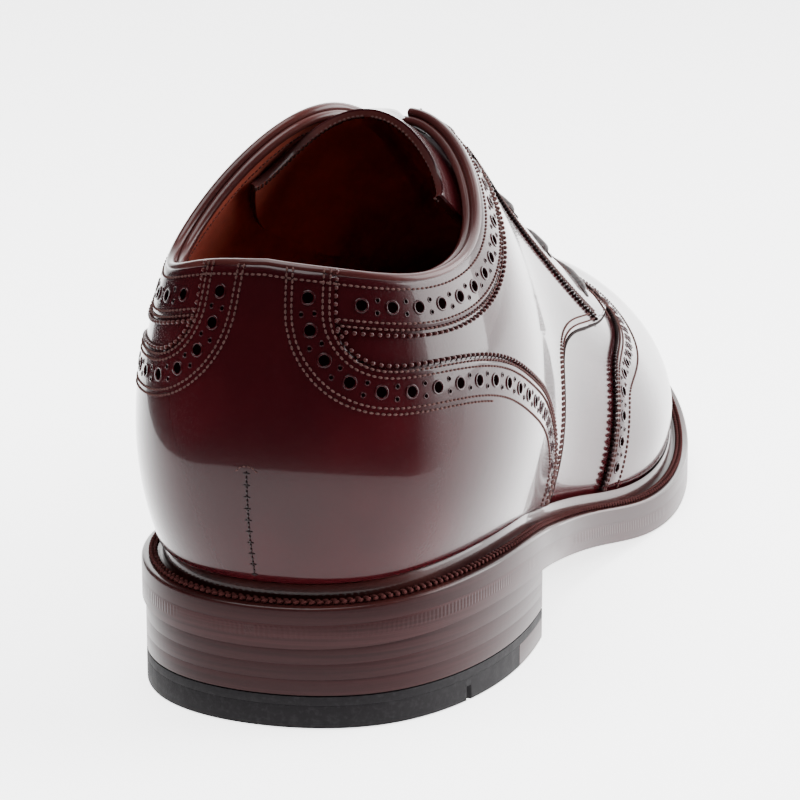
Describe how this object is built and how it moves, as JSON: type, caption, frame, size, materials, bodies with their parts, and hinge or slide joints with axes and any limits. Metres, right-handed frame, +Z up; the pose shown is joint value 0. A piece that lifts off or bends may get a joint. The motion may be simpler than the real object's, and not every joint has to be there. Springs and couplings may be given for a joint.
{
  "type": "wingtip derby shoe",
  "caption": "Right open-laced wingtip dress shoe in polished burgundy leather with brogue overlays, storm welt and stacked leather heel.",
  "frame": {"origin": "on the floor, in the middle of the shoe's box", "axes": "+Y along the foot to the toe, +X to the outer side of the right foot, +Z up"},
  "size_m": [0.1074, 0.3023, 0.1188],
  "materials": {
    "burgundy_leather": "polished",
    "burgundy_overlay": "polished",
    "rust_lining": "matte",
    "stained_edge": "burnished",
    "charcoal_rubber": "matte",
    "dark_lace": "waxed"
  },
  "bodies": {
    "root": {"upper": "burgundy_leather", "quarter_outer": "burgundy_leather", "quarter_inner": "burgundy_leather", "tongue": "burgundy_leather", "welt": "burgundy_leather", "counter": "burgundy_overlay", "collar_outer": "burgundy_overlay", "collar_inner": "burgundy_overlay", "eyestay_outer": "burgundy_overlay", "eyestay_inner": "burgundy_overlay", "wing_cap": "burgundy_overlay", "topline_bead": "burgundy_overlay", "insole": "rust_lining", "outsole": "stained_edge", "heel_lift_1": "stained_edge", "heel_lift_2": "stained_edge", "heel_lift_3": "stained_edge", "heel_corner": "stained_edge", "heel_rubber": "charcoal_rubber", "heel_rubber_layer": "charcoal_rubber", "lace_bar_1": "dark_lace", "lace_bar_2": "dark_lace", "lace_bar_3": "dark_lace", "lace_bar_4": "dark_lace", "lace_bar_5": "dark_lace"}
  },
  "joints": []
}
